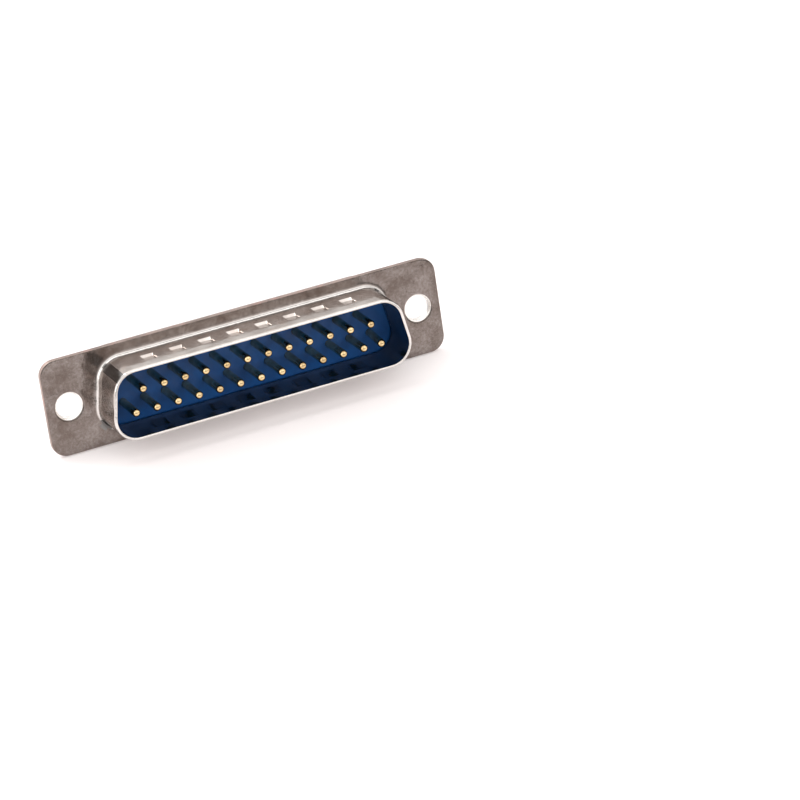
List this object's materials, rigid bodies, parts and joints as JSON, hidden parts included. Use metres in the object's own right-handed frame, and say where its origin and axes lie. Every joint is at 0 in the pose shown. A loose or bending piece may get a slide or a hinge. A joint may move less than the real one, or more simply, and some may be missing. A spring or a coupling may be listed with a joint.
{
  "type": "d-sub connector",
  "caption": "Straight D-shaped plug connector with drawn metal shells, blue insulators, pin contacts in two rows and solder cups.",
  "frame": {"origin": "centre of the flange's front face, midway between the two mounting holes", "axes": "+X along the flange, -Y the mating direction, +Z towards the narrow side of the D"},
  "size_m": [0.053, 0.0159, 0.0126],
  "materials": {
    "shell_plating": "dull tin-nickel plated steel, handled",
    "insulator_blue": "satin moulded thermoplastic",
    "contact_plating": "gold-flashed pin, tinned solder cup"
  },
  "bodies": {
    "root": {"front_shell": "shell_plating", "rear_shell": "shell_plating", "front_insulator": "insulator_blue", "rear_insulator": "insulator_blue", "contact_01": "contact_plating", "contact_02": "contact_plating", "contact_03": "contact_plating", "contact_04": "contact_plating", "contact_05": "contact_plating", "contact_06": "contact_plating", "contact_07": "contact_plating", "contact_08": "contact_plating", "contact_09": "contact_plating", "contact_10": "contact_plating", "contact_11": "contact_plating", "contact_12": "contact_plating", "contact_13": "contact_plating", "contact_14": "contact_plating", "contact_15": "contact_plating", "contact_16": "contact_plating", "contact_17": "contact_plating", "contact_18": "contact_plating", "contact_19": "contact_plating", "contact_20": "contact_plating", "contact_21": "contact_plating", "contact_22": "contact_plating", "contact_23": "contact_plating", "contact_24": "contact_plating", "contact_25": "contact_plating"}
  },
  "joints": []
}
